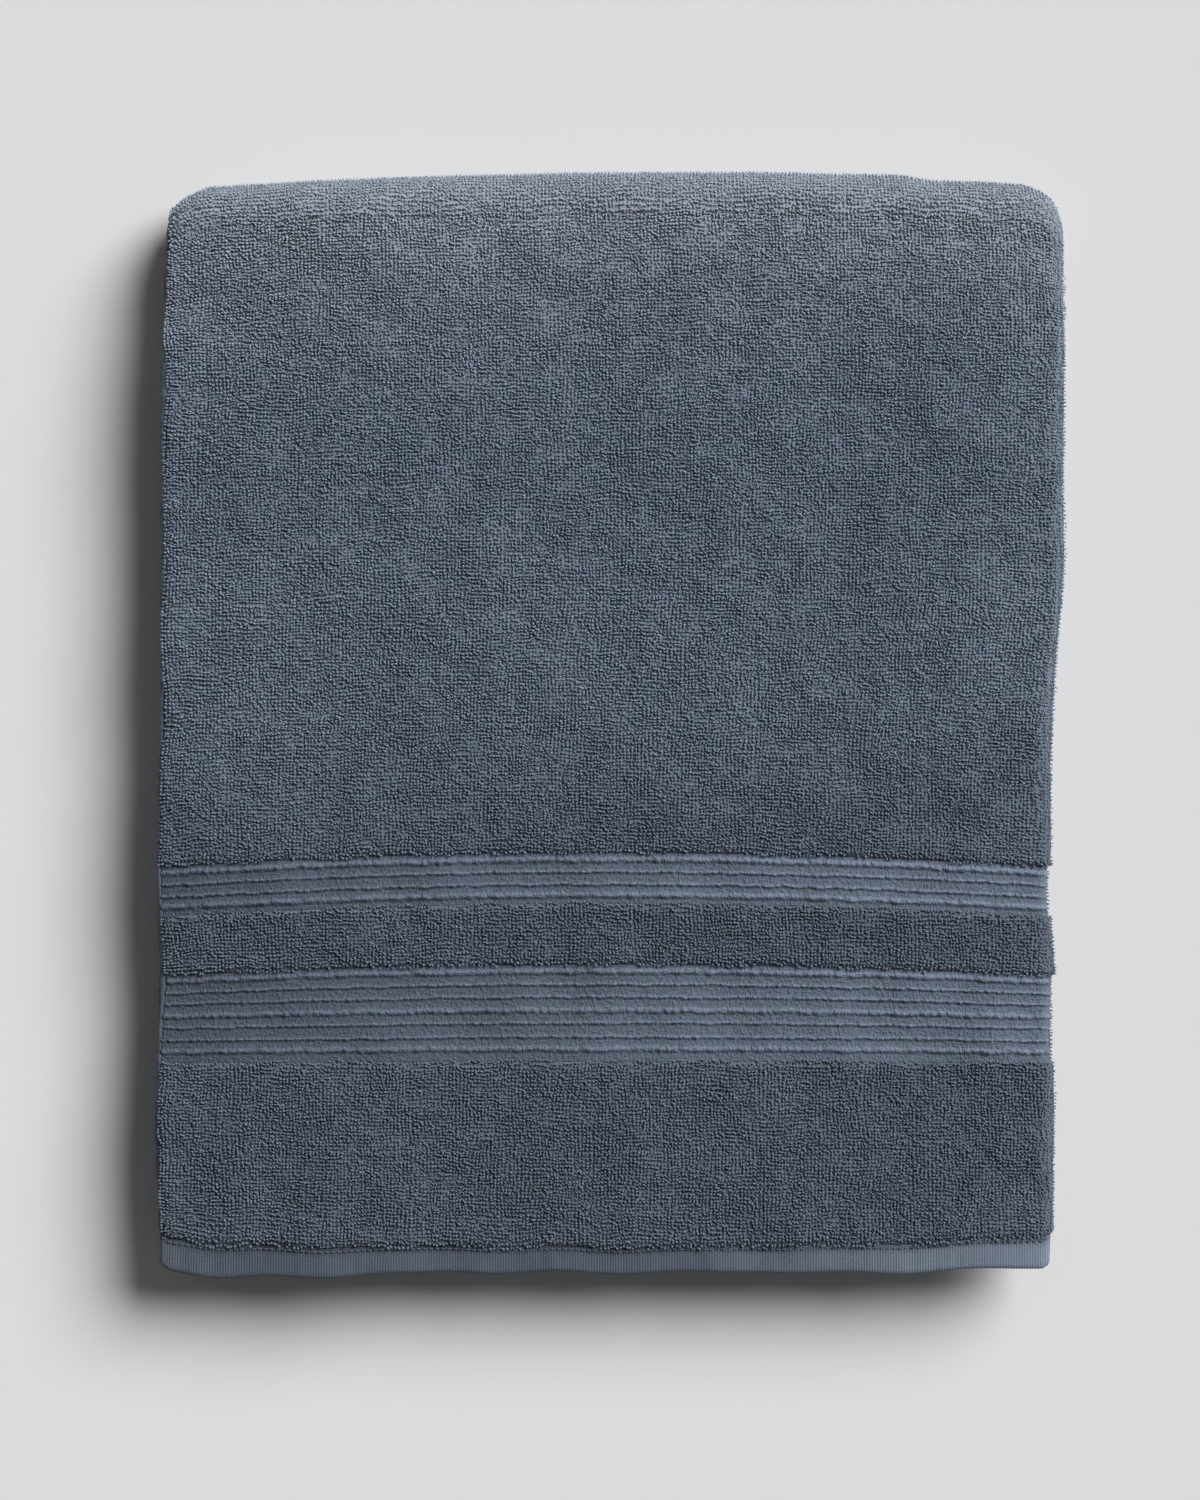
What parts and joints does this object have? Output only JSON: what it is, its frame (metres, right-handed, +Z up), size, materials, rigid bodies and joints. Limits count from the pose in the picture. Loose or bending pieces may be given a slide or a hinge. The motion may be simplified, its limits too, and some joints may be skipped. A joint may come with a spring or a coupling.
{
  "type": "bath towel",
  "caption": "Folded terry bath towel with woven ribbed borders and plain end hems, and a top leaf that opens flat about its back fold.",
  "frame": {"origin": "middle of the folded towel's underside, on the surface that it lies on", "axes": "+X across the towel towards the rolled side fold, +Y along it from the end hem to the big back fold, +Z up"},
  "size_m": [0.382, 0.466, 0.0405],
  "materials": {
    "terry": "dense looped cotton pile, matt with a soft sheen",
    "border": "flat woven ribs with raised cords, slightly smoother than the pile",
    "hem": "plain weave turned under and stitched, fine ribbing across the hem",
    "selvedge": "tight flat weave",
    "thread": "twisted cotton sewing thread"
  },
  "bodies": {
    "base": {"bottom_leaf_terry": "terry", "front_fold": "terry", "back_fold": "terry", "inner_leaf_end_hem": "hem", "inner_leaf_end_band": "terry", "inner_leaf_wide_border": "border", "inner_leaf_terry_strip": "terry", "inner_leaf_narrow_border": "border", "inner_leaf_terry_field": "terry", "inner_leaf_hem_stitching": "thread", "base_selvedge_outer": "selvedge", "base_selvedge_inner": "selvedge", "back_fold_selvedge_outer": "selvedge", "back_fold_selvedge_inner": "selvedge"},
    "top_leaf": {"top_leaf_end_hem": "hem", "top_leaf_end_band": "terry", "top_leaf_wide_border": "border", "top_leaf_terry_strip": "terry", "top_leaf_narrow_border": "border", "top_leaf_terry_field": "terry", "top_leaf_hem_stitching": "thread", "top_leaf_selvedge_upper": "selvedge", "top_leaf_selvedge_lower": "selvedge"}
  },
  "joints": [
    {"name": "top_leaf_fold", "type": "hinge", "parent": "base", "child": "top_leaf", "pos_m": [0, 0.2341, 0.02025], "axis": [-1, 0, 0], "range_deg": [0, 179.5], "deforming": ["back_fold", "back_fold_selvedge_outer", "back_fold_selvedge_inner"]}
  ]
}
